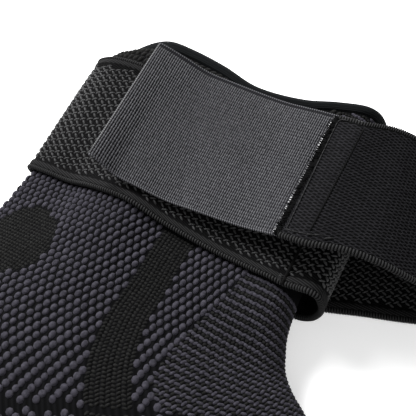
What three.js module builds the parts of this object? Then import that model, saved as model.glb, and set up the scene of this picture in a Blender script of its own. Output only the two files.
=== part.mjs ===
// An ankle compression sleeve that lies on its side on a table, with its elastic strap wrapped
// round the leg part and stuck to itself by a hook tab.
// Millimetres, +Z up. The leg opening faces +Y and the instep +X. The strap runs along X.
// Plan positions start at the near left corner of the hook tab; the last lines centre the whole.

import * as THREE from "three";

// Clearance between faces that meet
const gap = 0.3;

// Knit tube: flat width of the leg, length from cuff to toe, height as it lies, thickness of the knit
const sleeveWidth = 110;
const sleeveLength = 214;
const sleeveHeight = 22;
const sleeveWall = 2;

// Rolled hems at both openings, and how far the cuff's rim is drawn in on top
const hemWidth = 4;
const hemThickness = 3.2;
const cuffDraw = 7.5;

// Elastic strap: width, thickness, and the corded edges that are a little thicker
const strapWidth = 50;
const strapThickness = 1.8;
const cordThickness = 2.4;
const cordWidth = 2;

// Free stretches of the strap: the curl beyond the seam, the fold under the sleeve with the distance
// between its two layers, and the loop that brings the strap back over the top
const curlReach = 7.2;
const foldDepth = 27;
const foldRoom = 3.2;
const loopReach = 38;
const loopHeight = 36.4;
const loopSkew = THREE.MathUtils.degToRad(18);

// Hook tab: the length that shows, the length sewn under the strap's end, and its height off the strap
const tabLength = 66.4;
const tabOverlap = 9.6;
const tabThickness = 1.2;
const tabLift = 10;

// How far the strap's end is sewn on nearer than the tab's edges
const endShift = 1.5;

// Fineness of the mesh
const stepsPerSectionPoint = 3;
const stepsPerStation = 2;
const stepsPerStrapRow = 3;
const stepsPerTabRow = 2;
const hemSides = 6;
const topSteps = 120;

// Cross-section of the tube, from the instep fold over the top to the back fold and back underneath.
// across: share of the flat width, from instep fold 0 to back fold 1.
// cuff, far, near, foot: height as a share of the local height, at the rim, at the strap's far edge,
// at its near edge, and along the foot. draw: share of cuffDraw. mark: what lies at that row.
const SECTION = [
  { across: 0.0, cuff: 0.42, far: 0.48, near: 0.48, foot: 0.45, draw: 0 },
  { across: 0.025, cuff: 0.7, far: 0.76, near: 0.78, foot: 0.64, draw: 0.05 },
  { across: 0.075, cuff: 0.87, far: 0.93, near: 0.92, foot: 0.77, draw: 0.2, mark: "seam" },
  { across: 0.18, cuff: 0.88, far: 1.0, near: 0.84, foot: 0.9, draw: 0.47 },
  { across: 0.3, cuff: 0.85, far: 1.0, near: 0.76, foot: 0.98, draw: 0.85 },
  { across: 0.47, cuff: 0.88, far: 1.02, near: 0.77, foot: 1.0, draw: 1 },
  { across: 0.61, cuff: 0.95, far: 1.0, near: 0.89, foot: 0.99, draw: 0.56 },
  { across: 0.74, cuff: 0.98, far: 0.96, near: 0.68, foot: 0.94, draw: 0.24 },
  { across: 0.84, cuff: 0.96, far: 0.92, near: 0.42, foot: 0.84, draw: 0.1 },
  { across: 0.94, cuff: 0.68, far: 0.74, near: 0.29, foot: 0.64, draw: 0.05 },
  { across: 1.0, cuff: 0.33, far: 0.42, near: 0.17, foot: 0.42, draw: 0, mark: "back fold" },
  { across: 0.95, cuff: 0.08, far: 0.12, near: 0.04, foot: 0.14, draw: 0 },
  { across: 0.82, cuff: 0, far: 0, near: 0, foot: 0, draw: 0 },
  { across: 0.6, cuff: 0, far: 0, near: 0, foot: 0, draw: 0 },
  { across: 0.4, cuff: 0.03, far: 0.03, near: 0.03, foot: 0, draw: 0, mark: "strap start" },
  { across: 0.29, cuff: 0.15, far: 0.17, near: 0.17, foot: 0, draw: 0 },
  { across: 0.11, cuff: 0.18, far: 0.2, near: 0.2, foot: 0.1, draw: 0 },
  { across: 0.025, cuff: 0.27, far: 0.32, near: 0.32, foot: 0.26, draw: 0 },
];
const FORMS = ["cuff", "far", "near", "foot"];
const markedRow = (mark) => SECTION.findIndex((row) => row.mark === mark);
const SEAM_ROW = markedRow("seam");
const BACK_ROW = markedRow("back fold");
const STRAP_START_ROW = markedRow("strap start");

// Stations along the tube from the cuff to the toe. backX, backY, instepX, instepY: the two folds,
// as shares of the width and the length. form: place among cuff 0, far 1, near 2 and foot 3.
// high: share of the height. lift: share of the strap's layer that lies underneath.
const STATIONS = [
  { backX: -0.158, backY: 0.262, instepX: 0.736, instepY: 0.307, form: 0, high: 1.1, lift: 0.6 },
  { backX: -0.222, backY: 0.228, instepX: 0.736, instepY: 0.183, form: 1, high: 1, lift: 1 },
  { backX: -0.237, backY: -0.005, instepX: 0.736, instepY: -0.051, form: 2, high: 1, lift: 1 },
  { backX: -0.255, backY: -0.12, instepX: 0.768, instepY: -0.126, form: 2.6, high: 0.98, lift: 0.3 },
  { backX: -0.3, backY: -0.243, instepX: 0.812, instepY: -0.159, form: 3, high: 0.97, lift: 0 },
  { backX: -0.325, backY: -0.364, instepX: 0.883, instepY: -0.187, form: 3, high: 1, lift: 0 },
  { backX: -0.235, backY: -0.486, instepX: 0.955, instepY: -0.215, form: 3, high: 1, lift: 0 },
  { backX: 0.0, backY: -0.57, instepX: 1.027, instepY: -0.238, form: 3, high: 0.95, lift: 0 },
  { backX: 0.32, backY: -0.621, instepX: 1.1, instepY: -0.262, form: 3, high: 0.9, lift: 0 },
  { backX: 0.59, backY: -0.659, instepX: 1.173, instepY: -0.28, form: 3, high: 0.87, lift: 0.1 },
  { backX: 0.864, backY: -0.692, instepX: 1.255, instepY: -0.299, form: 3, high: 0.85, lift: 0.3 },
];
const stationWithForm = (name) => STATIONS.findIndex((station) => station.form === FORMS.indexOf(name));
const STRAP_FAR = stationWithForm("far");
const STRAP_NEAR = stationWithForm("near");

// Curl of the strap beyond the seam. out: share of curlReach from the instep fold.
// up: share of the way from the layer underneath to the seam.
const CURL = [
  { out: -0.25, up: 1.05 },
  { out: 0.24, up: 1.1 },
  { out: 0.66, up: 1.05 },
  { out: 0.9, up: 0.87 },
  { out: 1.0, up: 0.64 },
  { out: 0.86, up: 0.38 },
  { out: 0.58, up: 0.17 },
  { out: 0.05, up: 0.02 },
];

// Fold under the sleeve. back: share of foldDepth from the instep fold. down: share of the way from
// the upper layer to the lower. side: share of strapWidth towards the cuff, from the seam.
// turn: share of loopSkew.
const FOLD = [
  { back: 0.22, down: 0, side: 0, turn: 0 },
  { back: 0.55, down: 0, side: 0, turn: 0 },
  { back: 0.85, down: 0, side: 0, turn: 0.15 },
  { back: 0.955, down: 0.1, side: 0, turn: 0.35 },
  { back: 1.0, down: 0.5, side: 0, turn: 0.5 },
  { back: 0.955, down: 0.9, side: 0, turn: 0.65 },
  { back: 0.85, down: 1, side: 0.01, turn: 0.85 },
  { back: 0.5, down: 1, side: 0.06, turn: 1 },
];

// Loop on the right. out: share of loopReach from the instep fold. up: share of loopHeight above the
// layer on the table. side and turn: as for the fold.
const LOOP = [
  { out: 0.0, up: 0, side: 0.14, turn: 1 },
  { out: 0.3, up: 0, side: 0.22, turn: 1 },
  { out: 0.6, up: 0.005, side: 0.29, turn: 1 },
  { out: 0.83, up: 0.05, side: 0.34, turn: 0.95 },
  { out: 0.97, up: 0.19, side: 0.365, turn: 0.88 },
  { out: 1.0, up: 0.41, side: 0.37, turn: 0.75 },
  { out: 0.86, up: 0.63, side: 0.35, turn: 0.62 },
  { out: 0.6, up: 0.815, side: 0.31, turn: 0.5 },
  { out: 0.37, up: 0.935, side: 0.28, turn: 0.38 },
  { out: 0.16, up: 0.99, side: 0.25, turn: 0.2 },
];

// Height of the tab's near and far edges off the strap, as shares of tabLift, in even steps along
// the tape from its free end.
const TAB = [
  { near: 1.3, far: 0.9 },
  { near: 0.28, far: 0.6 },
  { near: 0.02, far: 0.25 },
  { near: 0.12, far: 0.2 },
  { near: 0.33, far: 0.22 },
  { near: 0.46, far: 0.3 },
  { near: 0.56, far: 0.48 },
  { near: 0.75, far: 0.7 },
  { near: 0.96, far: 0.9 },
];

// Heights of the strap's middle where it lies on the table and folded over itself
const lowerLayer = cordThickness / 2;
const upperLayer = lowerLayer + foldRoom;

// Value of one column of a table at a place between its rows, on a smooth curve
function smooth(rows, column, place) {
  const last = rows.length - 1;
  const row = Math.min(Math.floor(place), last - 1);
  const f = place - row;
  const at = (k) => rows[THREE.MathUtils.clamp(k, 0, last)][column];
  const startSlope = (at(row + 1) - at(row - 1)) / 2;
  const endSlope = (at(row + 2) - at(row)) / 2;
  return (
    at(row) * (2 * f ** 3 - 3 * f ** 2 + 1) +
    startSlope * (f ** 3 - 2 * f ** 2 + f) +
    at(row + 1) * (3 * f ** 2 - 2 * f ** 3) +
    endSlope * (f ** 3 - f ** 2)
  );
}

// The closed outline of the tube's outer face at a place among the stations, and the level that its
// flat underside rests at
function sectionAt(place) {
  const at = (column) => smooth(STATIONS, column, place);
  const form = THREE.MathUtils.clamp(at("form"), 0, FORMS.length - 1);
  const before = Math.min(Math.floor(form), FORMS.length - 2);
  const drawn = Math.max(0, 1 - place / STRAP_FAR) * cuffDraw;
  const level = Math.max(0, at("lift")) * (cordThickness + gap);
  const points = SECTION.map((row) => {
    const rise = THREE.MathUtils.lerp(row[FORMS[before]], row[FORMS[before + 1]], form - before);
    return new THREE.Vector3(
      THREE.MathUtils.lerp(at("instepX"), at("backX"), row.across) * sleeveWidth,
      THREE.MathUtils.lerp(at("instepY"), at("backY"), row.across) * sleeveLength - row.draw * drawn,
      level + rise * at("high") * sleeveHeight,
    );
  });
  return { outline: new THREE.CatmullRomCurve3(points, true), level };
}

// The direction towards the toe, level and square to the flat width, at an outline
function towardsToe(outline) {
  const backFold = outline.getPoint(BACK_ROW / SECTION.length);
  const across = backFold.sub(outline.getPoint(0)).setZ(0).normalize();
  return new THREE.Vector3(0, 0, 1).cross(across);
}

// A ring of points round the tube, moved out from its outer face by a distance
function sleeveRing(place, out) {
  const { outline, level } = sectionAt(place);
  const along = towardsToe(outline);
  const count = SECTION.length * stepsPerSectionPoint;
  return Array.from({ length: count }, (_, i) => {
    const normal = outline.getTangent(i / count).cross(along).normalize();
    const point = outline.getPoint(i / count).addScaledVector(normal, out);
    return point.setZ(Math.max(point.z, level - out));
  });
}

// Height of the tube's top at a point in plan between the strap's edges
function sleeveTop(x, y) {
  const [far, near] = [STATIONS[STRAP_FAR], STATIONS[STRAP_NEAR]];
  const share = (near.instepX - x / sleeveWidth) / (near.instepX - near.backX);
  const farY = THREE.MathUtils.lerp(far.instepY, far.backY, share) * sleeveLength;
  const nearY = THREE.MathUtils.lerp(near.instepY, near.backY, share) * sleeveLength;
  const ring = sectionAt(STRAP_NEAR - (y - nearY) / (farY - nearY)).outline.getPoints(topSteps);
  const i = ring.findIndex((point) => point.x <= x);
  return THREE.MathUtils.mapLinear(x, ring[i - 1].x, ring[i].x, ring[i - 1].z, ring[i].z);
}

// A closed body from rings of points. With joined, the last ring meets the first.
// Otherwise both ends are closed, between the first and the second half of the ring.
function bodyFromRings(rings, joined) {
  const size = rings[0].length;
  const index = [];
  const quad = (a, b, c, d) => index.push(a, b, c, a, c, d);
  const steps = joined ? rings.length : rings.length - 1;
  for (let r = 0; r < steps; r++) {
    const start = r * size;
    const next = ((r + 1) % rings.length) * size;
    for (let k = 0; k < size; k++) {
      const after = (k + 1) % size;
      quad(start + k, start + after, next + after, next + k);
    }
  }
  if (!joined) {
    const end = (rings.length - 1) * size;
    for (let k = 0; k < size / 2 - 1; k++) {
      quad(k, size - 1 - k, size - 2 - k, k + 1);
      quad(end + k, end + k + 1, end + size - 2 - k, end + size - 1 - k);
    }
  }
  const geometry = new THREE.BufferGeometry().setFromPoints(rings.flat());
  geometry.setIndex(index);
  turnFacesOut(geometry);
  geometry.computeVertexNormals();
  return geometry;
}

// Reverses the faces of a body that came out inside out
function turnFacesOut(geometry) {
  const index = geometry.index.array;
  const corner = (i) => new THREE.Vector3().fromBufferAttribute(geometry.attributes.position, index[i]);
  let volume = 0;
  for (let i = 0; i < index.length; i += 3) {
    volume += corner(i).dot(corner(i + 1).cross(corner(i + 2)));
  }
  if (volume > 0) return;
  for (let i = 0; i < index.length; i += 3) {
    [index[i + 1], index[i + 2]] = [index[i + 2], index[i + 1]];
  }
}

// A flat band from rows of points along its middle, with a thickness for each column of the rows
function bandBody(rows, thicknesses) {
  const last = rows.length - 1;
  const lastColumn = thicknesses.length - 1;
  const rings = rows.map((row, r) => {
    const before = rows[Math.max(r - 1, 0)];
    const after = rows[Math.min(r + 1, last)];
    const across = row[lastColumn].clone().sub(row[0]);
    const normals = row.map((_, k) => after[k].clone().sub(before[k]).cross(across).normalize());
    const face = (side) =>
      row.map((point, k) => point.clone().addScaledVector(normals[k], (side * thicknesses[k]) / 2));
    return [...face(1), ...face(-1).reverse()];
  });
  return bodyFromRings(rings, false);
}

// The knit tube, hollow and open at both ends
function sleeveBody() {
  const count = (STATIONS.length - 1) * stepsPerStation + 1;
  const places = Array.from({ length: count }, (_, i) => i / stepsPerStation);
  const outside = places.map((place) => sleeveRing(place, 0));
  const inside = places.map((place) => sleeveRing(place, -sleeveWall));
  return bodyFromRings([...outside, ...inside.reverse()], true);
}

// A rolled hem beyond the rim at one end of the tube. outward: 1 at the toe, -1 at the cuff.
function hemBody(place, outward) {
  const along = towardsToe(sectionAt(place).outline).multiplyScalar(outward);
  const rings = Array.from({ length: hemSides }, (_, k) => {
    const angle = (2 * Math.PI * k) / hemSides;
    const proud = (Math.cos(angle) * hemThickness - sleeveWall) / 2;
    const beyond = gap + ((1 + Math.sin(angle)) * hemWidth) / 2;
    return sleeveRing(place, proud).map((point) => point.addScaledVector(along, beyond));
  });
  return bodyFromRings(rings, true);
}

// Columns across the strap from its near edge, with the thickness there
function strapColumns() {
  const cord = cordWidth / strapWidth;
  const edge = (cordThickness + strapThickness) / 2;
  return [
    { across: 0, thick: edge },
    { across: cord / 2, thick: cordThickness },
    { across: cord, thick: strapThickness },
    { across: 1 / 2, thick: strapThickness },
    { across: 1 - cord, thick: strapThickness },
    { across: 1 - cord / 2, thick: cordThickness },
    { across: 1, thick: edge },
  ];
}

// Rows of the strap round the sleeve, from its end underneath, round the back fold and over the top
// to the seam. Each row has a point for every column.
function wrappedRows() {
  const spacing = (STATIONS[STRAP_FAR].instepY - STATIONS[STRAP_NEAR].instepY) * sleeveLength;
  const columns = strapColumns().map(({ across }) =>
    sleeveRing(STRAP_NEAR - (across * strapWidth) / spacing, gap + cordThickness / 2),
  );
  const start = STRAP_START_ROW * stepsPerSectionPoint;
  const seam = SEAM_ROW * stepsPerSectionPoint;
  return Array.from({ length: start - seam + 1 }, (_, i) => columns.map((ring) => ring[start - i]));
}

// A row of the strap about a middle point, turned in plan
function freeRow(x, y, z, turn) {
  return strapColumns().map(({ across }) => {
    const side = (across - 1 / 2) * strapWidth;
    return new THREE.Vector3(x - side * Math.sin(turn), y + side * Math.cos(turn), z);
  });
}

// Rows that lead the free stretches of the strap, from the seam to the strap's end on the tape
function freeRows(seamRow) {
  const fold = STATIONS[STRAP_NEAR].instepX * sleeveWidth;
  const middle = (seamRow[0].y + seamRow[seamRow.length - 1].y) / 2;
  const curl = CURL.map((row) =>
    freeRow(
      fold + row.out * curlReach,
      middle,
      THREE.MathUtils.lerp(upperLayer, seamRow[0].z, row.up),
      0,
    ),
  );
  const under = FOLD.map((row) =>
    freeRow(
      fold - row.back * foldDepth,
      middle + row.side * strapWidth,
      upperLayer - row.down * foldRoom,
      row.turn * loopSkew,
    ),
  );
  const loop = LOOP.map((row) =>
    freeRow(
      fold + row.out * loopReach,
      middle + row.side * strapWidth,
      lowerLayer + row.up * loopHeight,
      row.turn * loopSkew,
    ),
  );
  const ontoTab = new THREE.Vector3(0, -endShift, (tabThickness + cordThickness) / 2 + gap);
  const end = [1, 2 / 3, 1 / 3, 0].map((share) => {
    const along = tabLength + gap + share * (tabOverlap - gap);
    return strapColumns().map(({ across }) => tabPoint(along, across).add(ontoTab));
  });
  return [...curl, ...under, ...loop, ...end];
}

// All rows of the strap, the free stretches on smooth curves through their leading rows
function strapRows() {
  const wrapped = wrappedRows();
  const leading = [...wrapped.slice(-2), ...freeRows(wrapped.at(-1))];
  const curves = strapColumns().map((_, k) => new THREE.CatmullRomCurve3(leading.map((row) => row[k])));
  const steps = (leading.length - 1) * stepsPerStrapRow;
  const free = Array.from({ length: steps - stepsPerStrapRow }, (_, i) =>
    curves.map((curve) => curve.getPoint((i + 1 + stepsPerStrapRow) / steps)),
  );
  return [...wrapped, ...free];
}

// Middle of the tape's thickness, at a distance along it and a share of the way across it.
// Beyond the seam the tape no longer follows the sleeve's top.
function tabPoint(along, across) {
  const place = (along / (tabLength + tabOverlap)) * (TAB.length - 1);
  const lift = THREE.MathUtils.lerp(smooth(TAB, "near", place), smooth(TAB, "far", place), across);
  const y = across * strapWidth;
  const strapTop = sleeveTop(Math.min(along, tabLength), y) + gap + cordThickness;
  return new THREE.Vector3(along, y, strapTop + gap + tabThickness / 2 + lift * tabLift);
}

// The hook tape: the tab that shows and the part sewn under the strap's end
function tabBody() {
  const columns = [0, 1 / 3, 2 / 3, 1];
  const steps = (TAB.length - 1) * stepsPerTabRow;
  const rows = Array.from({ length: steps + 1 }, (_, i) =>
    columns.map((across) => tabPoint((i / steps) * (tabLength + tabOverlap), across)),
  );
  return bandBody(rows, columns.map(() => tabThickness));
}

function piece(name, geometry, color, roughness) {
  const mesh = new THREE.Mesh(geometry, new THREE.MeshStandardMaterial({ color, roughness, metalness: 0 }));
  mesh.name = name;
  return mesh;
}

const toe = STATIONS.length - 1;
const group = new THREE.Group();
group.add(piece("sleeve", sleeveBody(), 0x3b3a42, 0.95));
group.add(piece("leg_hem", hemBody(0, -1), 0x15171a, 0.9));
group.add(piece("toe_hem", hemBody(toe, 1), 0x15171a, 0.9));
group.add(piece("strap", bandBody(strapRows(), strapColumns().map((column) => column.thick)), 0x1c1b1e, 0.9));
group.add(piece("hook_tab", tabBody(), 0x4a4a4e, 0.85));

// The origin is on the table under the middle of the whole
const box = new THREE.Box3().setFromObject(group);
const centre = box.getCenter(new THREE.Vector3());
group.position.set(-centre.x, -centre.y, -box.min.z);

export default group;
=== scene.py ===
"""Looks of an ankle compression sleeve that lies on its side with its strap wrapped and stuck down.

The knit's stitches, the strap's loops and ribs, the tape's weave and the threads are laid on the same
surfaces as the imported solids: the tables below give the sections, and the frame gives the place.
Sizes are in millimetres from the near left corner of the hook tab; meshes are in metres.
"""

import math

import bpy
import numpy as np
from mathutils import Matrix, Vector


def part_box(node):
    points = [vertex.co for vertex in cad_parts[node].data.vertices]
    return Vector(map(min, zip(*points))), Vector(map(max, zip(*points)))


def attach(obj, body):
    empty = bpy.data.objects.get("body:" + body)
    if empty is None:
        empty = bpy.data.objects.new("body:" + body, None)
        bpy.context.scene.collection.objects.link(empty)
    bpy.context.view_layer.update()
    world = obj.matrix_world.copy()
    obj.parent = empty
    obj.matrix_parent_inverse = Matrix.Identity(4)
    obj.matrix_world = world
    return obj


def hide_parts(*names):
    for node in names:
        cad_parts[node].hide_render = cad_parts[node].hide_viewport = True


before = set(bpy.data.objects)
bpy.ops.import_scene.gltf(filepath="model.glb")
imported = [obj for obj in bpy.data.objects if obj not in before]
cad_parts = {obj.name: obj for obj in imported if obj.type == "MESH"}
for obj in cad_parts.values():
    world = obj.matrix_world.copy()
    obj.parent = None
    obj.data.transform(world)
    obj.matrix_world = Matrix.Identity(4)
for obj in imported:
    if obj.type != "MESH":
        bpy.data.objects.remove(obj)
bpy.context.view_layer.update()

MM = 0.001
BODY = "root"
random = np.random.default_rng(7)

# Sizes of the solids
GAP = 0.3
SLEEVE_WIDTH = 110
SLEEVE_LENGTH = 214
SLEEVE_HEIGHT = 22
SLEEVE_WALL = 2
HEM_WIDTH = 4
HEM_THICKNESS = 3.2
CUFF_DRAW = 7.5
STRAP_WIDTH = 50
CORD_THICKNESS = 2.4
CURL_REACH = 7.2
FOLD_DEPTH = 27
FOLD_ROOM = 3.2
LOOP_REACH = 38
LOOP_HEIGHT = 36.4
LOOP_SKEW = math.radians(18)
TAB_LENGTH = 66.4
TAB_OVERLAP = 9.6
TAB_THICKNESS = 1.2
TAB_LIFT = 10
END_SHIFT = 1.5

# Knit: spacing of the tuck stitches in a row and between rows, the form of each kind of stitch, the depth
# of their feet and of the ground between them, and the steps of the tube's mesh
TUCK_ACROSS = 2.5
TUCK_ROW = 2.6
TUCK_HALF_LENGTH = 1.45
TUCK_HALF_WIDTH = 0.94
TUCK_HEIGHT = 0.8
TUCK_TILT = math.radians(9)
FINE_HALF_LENGTH = 0.56
FINE_HALF_WIDTH = 0.74
FINE_HEIGHT = 0.5
FINE_TILT = math.radians(24)
STRIPE_HALF_LENGTH = 0.64
STRIPE_HALF_WIDTH = 1.05
KNIT_BASE = -0.52
GROUND_DEPTH = -0.45
TUBE_RINGS = 81
TUBE_SIDES = 216

# Hems: corners of the roll's section, and steps round the opening
HEM_SIDES = 14
HEM_STEPS = 324

# How far the stitches go on under the strap's edges, and the place on the foot where the rows that start
# at the strap meet those that start at the toe
UNDER_STRAP = 3
GORE = 5.8

# Levels of the strap's body off its middle: plain edges, bed of the loops and fine face
EDGE_LEVEL = 0.8
LOOP_BED = 0.3
FINE_LEVEL = -0.65

# Loop face of the strap: repeat along and across, how far each repeat climbs across, and the beads and
# bars of yarn (half length, half width, height, turn), with the bars' place beside the beads; then where
# the loops stop across the strap, the width of its plain edges, and the ribs of its cords
LOOP_ALONG = 2.6
LOOP_ACROSS = 2.45
LOOP_CLIMB = 0.69
BEAD = (1.05, 0.43, 0.58, math.radians(-35))
BAR = (1.2, 0.36, 0.5, math.radians(30))
BAR_PLACE = (-1.1, 0.82)
LOOPS_STOP = 43.6
PLAIN_EDGE = 4.6
RIB_PITCH = 0.92
RIB_HALF_WIDTH = 1.05
RIB_HALF_HEIGHT = 1.15

# Fine face of the strap: waves of its yarns, the length that has them, and the cut end that has none
WAVE_ALONG = 2.95
WAVE_ROW = 0.59
WAVE_SWING = 0.27
FACE_YARN_WIDTH = 0.27
FACE_YARN_HEIGHT = 0.26
FACE_LENGTH = 118
RAW_EDGE = 1.7

# Hook tape: pitch of its columns and of the dashes in them, and the thin long edges
TAPE_COLUMN = 0.77
TAPE_DASH = 1.26
TAPE_EDGE = 0.6

# Camera: angles in degrees, distance from a target, and focal length in pixels of the picture
CAMERA_AZIMUTH = 26.659
CAMERA_ELEVATION = 60.0
CAMERA_DISTANCE = 282.2
CAMERA_TARGET = (43.99, -0.54, 34.0)
CAMERA_FOCAL = 900
PICTURE_SIDE = 416
SENSOR = 36.0

# Studio in metres and watts: place, size and power of each light, the floor's reach and glow, and the
# strength of the surround
KEY_LIGHT = ((-0.6, 0.3, 0.62), 0.4, 17)
FILL_LIGHT = ((0.5, -0.6, 0.8), 0.9, 3)
FLOOR_REACH = 4.0
FLOOR_GLOW = 0.45
SURROUND = 0.35


def table(names, rows):
    """A table with named columns."""
    return {name: np.array(column, float) for name, column in zip(names.split(), zip(*rows))}


# Cross-section of the tube, from the instep fold over the top to the back fold and back underneath
SECTION = table("across cuff far near foot draw", [
    (0.0, 0.42, 0.48, 0.48, 0.45, 0),
    (0.025, 0.7, 0.76, 0.78, 0.64, 0.05),
    (0.075, 0.87, 0.93, 0.92, 0.77, 0.2),
    (0.18, 0.88, 1.0, 0.84, 0.9, 0.47),
    (0.3, 0.85, 1.0, 0.76, 0.98, 0.85),
    (0.47, 0.88, 1.02, 0.77, 1.0, 1),
    (0.61, 0.95, 1.0, 0.89, 0.99, 0.56),
    (0.74, 0.98, 0.96, 0.68, 0.94, 0.24),
    (0.84, 0.96, 0.92, 0.42, 0.84, 0.1),
    (0.94, 0.68, 0.74, 0.29, 0.64, 0.05),
    (1.0, 0.33, 0.42, 0.17, 0.42, 0),
    (0.95, 0.08, 0.12, 0.04, 0.14, 0),
    (0.82, 0, 0, 0, 0, 0),
    (0.6, 0, 0, 0, 0, 0),
    (0.4, 0.03, 0.03, 0.03, 0, 0),
    (0.29, 0.15, 0.17, 0.17, 0, 0),
    (0.11, 0.18, 0.2, 0.2, 0.1, 0),
    (0.025, 0.27, 0.32, 0.32, 0.26, 0),
])
FORMS = ("cuff", "far", "near", "foot")
SECTION_ROWS = len(SECTION["across"])
SEAM_ROW = 2
BACK_ROW = 10
STRAP_START_ROW = 14
RING_STEPS = 54

# Stations along the tube from the cuff to the toe
STATIONS = table("back_x back_y instep_x instep_y form high lift", [
    (-0.158, 0.262, 0.736, 0.307, 0, 1.1, 0.6),
    (-0.222, 0.228, 0.736, 0.183, 1, 1, 1),
    (-0.237, -0.005, 0.736, -0.051, 2, 1, 1),
    (-0.255, -0.12, 0.768, -0.126, 2.6, 0.98, 0.3),
    (-0.3, -0.243, 0.812, -0.159, 3, 0.97, 0),
    (-0.325, -0.364, 0.883, -0.187, 3, 1, 0),
    (-0.235, -0.486, 0.955, -0.215, 3, 1, 0),
    (0.0, -0.57, 1.027, -0.238, 3, 0.95, 0),
    (0.32, -0.621, 1.1, -0.262, 3, 0.9, 0),
    (0.59, -0.659, 1.173, -0.28, 3, 0.87, 0.1),
    (0.864, -0.692, 1.255, -0.299, 3, 0.85, 0.3),
])
TOE = len(STATIONS["form"]) - 1
STRAP_FAR = 1
STRAP_NEAR = 2

# Free stretches of the strap, and the tab's lift off it, as in the solids
CURL = table("out up", [
    (-0.25, 1.05),
    (0.24, 1.1),
    (0.66, 1.05),
    (0.9, 0.87),
    (1.0, 0.64),
    (0.86, 0.38),
    (0.58, 0.17),
    (0.05, 0.02),
])
FOLD = table("back down side turn", [
    (0.22, 0, 0, 0),
    (0.55, 0, 0, 0),
    (0.85, 0, 0, 0.15),
    (0.955, 0.1, 0, 0.35),
    (1.0, 0.5, 0, 0.5),
    (0.955, 0.9, 0, 0.65),
    (0.85, 1, 0.01, 0.85),
    (0.5, 1, 0.06, 1),
])
LOOP = table("out up side turn", [
    (0.0, 0, 0.14, 1),
    (0.3, 0, 0.22, 1),
    (0.6, 0.005, 0.29, 1),
    (0.83, 0.05, 0.34, 0.95),
    (0.97, 0.19, 0.365, 0.88),
    (1.0, 0.41, 0.37, 0.75),
    (0.86, 0.63, 0.35, 0.62),
    (0.6, 0.815, 0.31, 0.5),
    (0.37, 0.935, 0.28, 0.38),
    (0.16, 0.99, 0.25, 0.2),
])
TAB = table("near far", [
    (1.3, 0.9),
    (0.28, 0.6),
    (0.02, 0.25),
    (0.12, 0.2),
    (0.33, 0.22),
    (0.46, 0.3),
    (0.56, 0.48),
    (0.75, 0.7),
    (0.96, 0.9),
])
LOWER_LAYER = CORD_THICKNESS / 2
UPPER_LAYER = LOWER_LAYER + FOLD_ROOM


# Curves

def smooth(column, place):
    """Value of a table's column at places between its rows, on a smooth curve."""
    last = len(column) - 1
    row = np.minimum(np.floor(place).astype(int), last - 1)
    before, start, end, after = (column[np.clip(row + k, 0, last)] for k in (-1, 0, 1, 2))
    return hermite(start, end, (end - before) / 2, (after - start) / 2, place - row)


def hermite(start, end, start_slope, end_slope, f):
    """The cubic with these ends and slopes at shares f."""
    return (
        start * (2 * f**3 - 3 * f**2 + 1)
        + start_slope * (f**3 - 2 * f**2 + f)
        + end * (3 * f**2 - 2 * f**3)
        + end_slope * (f**3 - f**2)
    )


def spline_piece(p0, p1, p2, p3, f):
    """Points between p1 and p2 on the centripetal spline through four points."""
    d0, d1, d2 = (
        np.sqrt(np.linalg.norm(b - a, axis=-1, keepdims=True)) for a, b in ((p0, p1), (p1, p2), (p2, p3))
    )
    start_slope = ((p1 - p0) / d0 - (p2 - p0) / (d0 + d1) + (p2 - p1) / d1) * d1
    end_slope = ((p2 - p1) / d1 - (p3 - p1) / (d1 + d2) + (p3 - p2) / d2) * d1
    return hermite(p1, p2, start_slope, end_slope, f)


def spline_rows(rows, count):
    """Rows of points on the splines through rows, from the second row to the last."""
    rows = np.concatenate([rows, [2 * rows[-1] - rows[-2]]])
    place = np.linspace(1, len(rows) - 2, count)
    i = np.minimum(place.astype(int), len(rows) - 3)
    f = (place - i)[:, None, None]
    return spline_piece(rows[i - 1], rows[i], rows[i + 1], rows[i + 2], f)


def unit(vectors):
    return vectors / np.linalg.norm(vectors, axis=-1, keepdims=True)


def lengths_along(points):
    """Distance of each point of a line from its first."""
    steps = np.linalg.norm(np.diff(points, axis=0), axis=-1)
    return np.concatenate([[0], steps.cumsum()])


def pairs(first, second):
    """Every pair of two lists, as two arrays."""
    return np.meshgrid(np.asarray(first, float), np.asarray(second, float), indexing="ij")


# The tube's outer face

def section_control(place, row):
    """The control point of the outline at each place, for a row of the section."""
    form = np.clip(smooth(STATIONS["form"], place), 0, len(FORMS) - 1)
    before = np.minimum(form.astype(int), len(FORMS) - 2)
    forms = np.stack([SECTION[name] for name in FORMS])
    rise = forms[before, row] + (forms[before + 1, row] - forms[before, row]) * (form - before)
    drawn = np.maximum(0, 1 - place / STRAP_FAR) * CUFF_DRAW
    across = SECTION["across"][row]
    back_x, back_y, instep_x, instep_y, high = (
        smooth(STATIONS[name], place) for name in ("back_x", "back_y", "instep_x", "instep_y", "high")
    )
    return np.stack([
        (instep_x + (back_x - instep_x) * across) * SLEEVE_WIDTH,
        (instep_y + (back_y - instep_y) * across) * SLEEVE_LENGTH - SECTION["draw"][row] * drawn,
        level_of(place) + rise * high * SLEEVE_HEIGHT,
    ], axis=-1)


def level_of(place):
    """Height of the tube's flat underside."""
    return np.maximum(0, smooth(STATIONS["lift"], place)) * (CORD_THICKNESS + GAP)


def outline(place, turn):
    """Points of the tube's outer face at places along it and shares of the way round."""
    position = (turn % 1) * SECTION_ROWS
    i = np.floor(position).astype(int)
    controls = [section_control(place, (i + k) % SECTION_ROWS) for k in (-1, 0, 1, 2)]
    return spline_piece(*controls, (position - i)[..., None])


def towards_toe(place):
    """Level direction towards the toe, square to the flat width."""
    across = outline(place, place * 0 + BACK_ROW / SECTION_ROWS) - outline(place, place * 0)
    across[..., 2] = 0
    return np.cross([0, 0, 1], unit(across))


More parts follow.
